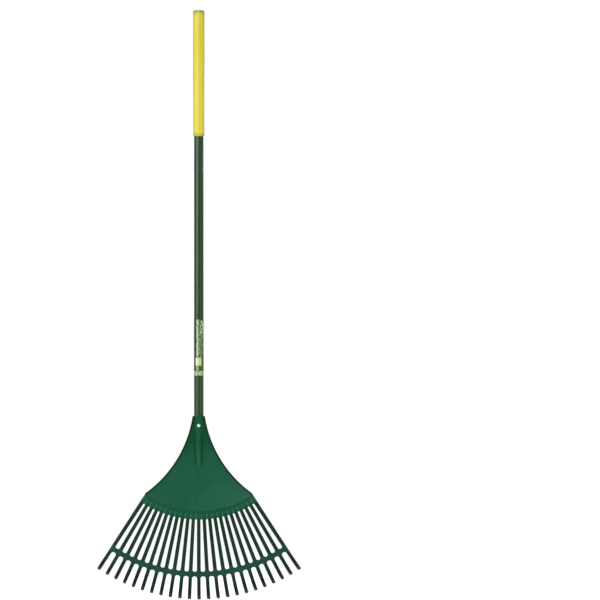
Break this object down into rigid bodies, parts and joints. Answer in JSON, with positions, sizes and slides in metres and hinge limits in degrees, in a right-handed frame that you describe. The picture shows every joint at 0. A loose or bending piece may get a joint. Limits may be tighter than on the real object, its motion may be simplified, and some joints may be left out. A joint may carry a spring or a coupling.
{
  "type": "leaf rake",
  "caption": "Leaf rake with a moulded fan head of springy hooked tines tied by a cross band, on a straight round handle with a long soft grip.",
  "frame": {"origin": "middle of the straight upper stretch of the hand grip, on the handle's axis", "axes": "+Z along the handle, from the head up to the grip's closed top; +X to the right and -Y towards the viewer as the rake is seen from its face; the tine tips hook back towards +Y"},
  "size_m": [0.6192, 0.09, 1.783],
  "materials": {
    "head_plastic": "satin moulded, dark green",
    "tube_fibreglass": "smooth, dark green",
    "core_wood": "plain turned",
    "plug_plastic": "moulded, black",
    "grip_rubber": "soft, yellow",
    "screw_steel": "bright zinc plated",
    "label_film": "printed film with plain coloured bands"
  },
  "bodies": {
    "handle_and_fan": {"rake_head": "head_plastic", "handle_tube": "tube_fibreglass", "core_plug": "core_wood", "end_plug": "plug_plastic", "hand_grip": "grip_rubber", "head_screw": "screw_steel", "handle_label": "label_film"},
    "tine_01_body": {"tine_01": "head_plastic"},
    "tine_02_body": {"tine_02": "head_plastic"},
    "tine_03_body": {"tine_03": "head_plastic"},
    "tine_04_body": {"tine_04": "head_plastic"},
    "tine_05_body": {"tine_05": "head_plastic"},
    "tine_06_body": {"tine_06": "head_plastic"},
    "tine_07_body": {"tine_07": "head_plastic"},
    "tine_08_body": {"tine_08": "head_plastic"},
    "tine_09_body": {"tine_09": "head_plastic"},
    "tine_10_body": {"tine_10": "head_plastic"},
    "tine_11_body": {"tine_11": "head_plastic"},
    "tine_12_body": {"tine_12": "head_plastic"},
    "tine_13_body": {"tine_13": "head_plastic"},
    "tine_14_body": {"tine_14": "head_plastic"},
    "tine_15_body": {"tine_15": "head_plastic"},
    "tine_16_body": {"tine_16": "head_plastic"},
    "tine_17_body": {"tine_17": "head_plastic"},
    "tine_18_body": {"tine_18": "head_plastic"},
    "tine_19_body": {"tine_19": "head_plastic"},
    "tine_20_body": {"tine_20": "head_plastic"},
    "tine_21_body": {"tine_21": "head_plastic"},
    "tine_22_body": {"tine_22": "head_plastic"},
    "tine_23_body": {"tine_23": "head_plastic"}
  },
  "joints": [
    {"name": "tine_01_flex", "type": "hinge", "parent": "handle_and_fan", "child": "tine_01_body", "pos_m": [-0.17452, -0.0097, -1.41549], "axis": [-0.8366, 0, 0.5479], "range_deg": [-10, 20], "stiffness_Nm_per_rad": 1.5},
    {"name": "tine_02_flex", "type": "hinge", "parent": "handle_and_fan", "child": "tine_02_body", "pos_m": [-0.16024, -0.0097, -1.42431], "axis": [-0.8643, 0, 0.503], "range_deg": [-10, 20], "stiffness_Nm_per_rad": 1.5},
    {"name": "tine_03_flex", "type": "hinge", "parent": "handle_and_fan", "child": "tine_03_body", "pos_m": [-0.14551, -0.0097, -1.43237], "axis": [-0.8896, 0, 0.4568], "range_deg": [-10, 20], "stiffness_Nm_per_rad": 1.5},
    {"name": "tine_04_flex", "type": "hinge", "parent": "handle_and_fan", "child": "tine_04_body", "pos_m": [-0.13038, -0.0097, -1.43965], "axis": [-0.9124, 0, 0.4093], "range_deg": [-10, 20], "stiffness_Nm_per_rad": 1.5},
    {"name": "tine_05_flex", "type": "hinge", "parent": "handle_and_fan", "child": "tine_05_body", "pos_m": [-0.11488, -0.0097, -1.44611], "axis": [-0.9327, 0, 0.3606], "range_deg": [-10, 20], "stiffness_Nm_per_rad": 1.5},
    {"name": "tine_06_flex", "type": "hinge", "parent": "handle_and_fan", "child": "tine_06_body", "pos_m": [-0.09907, -0.0097, -1.45175], "axis": [-0.9504, 0, 0.311], "range_deg": [-10, 20], "stiffness_Nm_per_rad": 1.5},
    {"name": "tine_07_flex", "type": "hinge", "parent": "handle_and_fan", "child": "tine_07_body", "pos_m": [-0.08298, -0.0097, -1.45655], "axis": [-0.9655, 0, 0.2605], "range_deg": [-10, 20], "stiffness_Nm_per_rad": 1.5},
    {"name": "tine_08_flex", "type": "hinge", "parent": "handle_and_fan", "child": "tine_08_body", "pos_m": [-0.06667, -0.0097, -1.4605], "axis": [-0.9779, 0, 0.2093], "range_deg": [-10, 20], "stiffness_Nm_per_rad": 1.5},
    {"name": "tine_09_flex", "type": "hinge", "parent": "handle_and_fan", "child": "tine_09_body", "pos_m": [-0.05016, -0.0097, -1.46358], "axis": [-0.9875, 0, 0.1575], "range_deg": [-10, 20], "stiffness_Nm_per_rad": 1.5},
    {"name": "tine_10_flex", "type": "hinge", "parent": "handle_and_fan", "child": "tine_10_body", "pos_m": [-0.03352, -0.0097, -1.46578], "axis": [-0.9944, 0, 0.1052], "range_deg": [-10, 20], "stiffness_Nm_per_rad": 1.5},
    {"name": "tine_11_flex", "type": "hinge", "parent": "handle_and_fan", "child": "tine_11_body", "pos_m": [-0.01678, -0.0097, -1.46711], "axis": [-0.9986, 0, 0.0527], "range_deg": [-10, 20], "stiffness_Nm_per_rad": 1.5},
    {"name": "tine_12_flex", "type": "hinge", "parent": "handle_and_fan", "child": "tine_12_body", "pos_m": [0, -0.0097, -1.46755], "axis": [-1, 0, 0], "range_deg": [-10, 20], "stiffness_Nm_per_rad": 1.5},
    {"name": "tine_13_flex", "type": "hinge", "parent": "handle_and_fan", "child": "tine_13_body", "pos_m": [0.01678, -0.0097, -1.46711], "axis": [-0.9986, 0, -0.0527], "range_deg": [-10, 20], "stiffness_Nm_per_rad": 1.5},
    {"name": "tine_14_flex", "type": "hinge", "parent": "handle_and_fan", "child": "tine_14_body", "pos_m": [0.03352, -0.0097, -1.46578], "axis": [-0.9944, 0, -0.1052], "range_deg": [-10, 20], "stiffness_Nm_per_rad": 1.5},
    {"name": "tine_15_flex", "type": "hinge", "parent": "handle_and_fan", "child": "tine_15_body", "pos_m": [0.05016, -0.0097, -1.46358], "axis": [-0.9875, 0, -0.1575], "range_deg": [-10, 20], "stiffness_Nm_per_rad": 1.5},
    {"name": "tine_16_flex", "type": "hinge", "parent": "handle_and_fan", "child": "tine_16_body", "pos_m": [0.06667, -0.0097, -1.4605], "axis": [-0.9779, 0, -0.2093], "range_deg": [-10, 20], "stiffness_Nm_per_rad": 1.5},
    {"name": "tine_17_flex", "type": "hinge", "parent": "handle_and_fan", "child": "tine_17_body", "pos_m": [0.08298, -0.0097, -1.45655], "axis": [-0.9655, 0, -0.2605], "range_deg": [-10, 20], "stiffness_Nm_per_rad": 1.5},
    {"name": "tine_18_flex", "type": "hinge", "parent": "handle_and_fan", "child": "tine_18_body", "pos_m": [0.09907, -0.0097, -1.45175], "axis": [-0.9504, 0, -0.311], "range_deg": [-10, 20], "stiffness_Nm_per_rad": 1.5},
    {"name": "tine_19_flex", "type": "hinge", "parent": "handle_and_fan", "child": "tine_19_body", "pos_m": [0.11488, -0.0097, -1.44611], "axis": [-0.9327, 0, -0.3606], "range_deg": [-10, 20], "stiffness_Nm_per_rad": 1.5},
    {"name": "tine_20_flex", "type": "hinge", "parent": "handle_and_fan", "child": "tine_20_body", "pos_m": [0.13038, -0.0097, -1.43965], "axis": [-0.9124, 0, -0.4093], "range_deg": [-10, 20], "stiffness_Nm_per_rad": 1.5},
    {"name": "tine_21_flex", "type": "hinge", "parent": "handle_and_fan", "child": "tine_21_body", "pos_m": [0.14551, -0.0097, -1.43237], "axis": [-0.8896, 0, -0.4568], "range_deg": [-10, 20], "stiffness_Nm_per_rad": 1.5},
    {"name": "tine_22_flex", "type": "hinge", "parent": "handle_and_fan", "child": "tine_22_body", "pos_m": [0.16024, -0.0097, -1.42431], "axis": [-0.8643, 0, -0.503], "range_deg": [-10, 20], "stiffness_Nm_per_rad": 1.5},
    {"name": "tine_23_flex", "type": "hinge", "parent": "handle_and_fan", "child": "tine_23_body", "pos_m": [0.17452, -0.0097, -1.41549], "axis": [-0.8366, 0, -0.5479], "range_deg": [-10, 20], "stiffness_Nm_per_rad": 1.5}
  ],
  "couplings": [
    {"joint": "tine_01_flex", "follows": "tine_12_flex", "ratio": 1},
    {"joint": "tine_02_flex", "follows": "tine_12_flex", "ratio": 1},
    {"joint": "tine_03_flex", "follows": "tine_12_flex", "ratio": 1},
    {"joint": "tine_04_flex", "follows": "tine_12_flex", "ratio": 1},
    {"joint": "tine_05_flex", "follows": "tine_12_flex", "ratio": 1},
    {"joint": "tine_06_flex", "follows": "tine_12_flex", "ratio": 1},
    {"joint": "tine_07_flex", "follows": "tine_12_flex", "ratio": 1},
    {"joint": "tine_08_flex", "follows": "tine_12_flex", "ratio": 1},
    {"joint": "tine_09_flex", "follows": "tine_12_flex", "ratio": 1},
    {"joint": "tine_10_flex", "follows": "tine_12_flex", "ratio": 1},
    {"joint": "tine_11_flex", "follows": "tine_12_flex", "ratio": 1},
    {"joint": "tine_13_flex", "follows": "tine_12_flex", "ratio": 1},
    {"joint": "tine_14_flex", "follows": "tine_12_flex", "ratio": 1},
    {"joint": "tine_15_flex", "follows": "tine_12_flex", "ratio": 1},
    {"joint": "tine_16_flex", "follows": "tine_12_flex", "ratio": 1},
    {"joint": "tine_17_flex", "follows": "tine_12_flex", "ratio": 1},
    {"joint": "tine_18_flex", "follows": "tine_12_flex", "ratio": 1},
    {"joint": "tine_19_flex", "follows": "tine_12_flex", "ratio": 1},
    {"joint": "tine_20_flex", "follows": "tine_12_flex", "ratio": 1},
    {"joint": "tine_21_flex", "follows": "tine_12_flex", "ratio": 1},
    {"joint": "tine_22_flex", "follows": "tine_12_flex", "ratio": 1},
    {"joint": "tine_23_flex", "follows": "tine_12_flex", "ratio": 1}
  ]
}
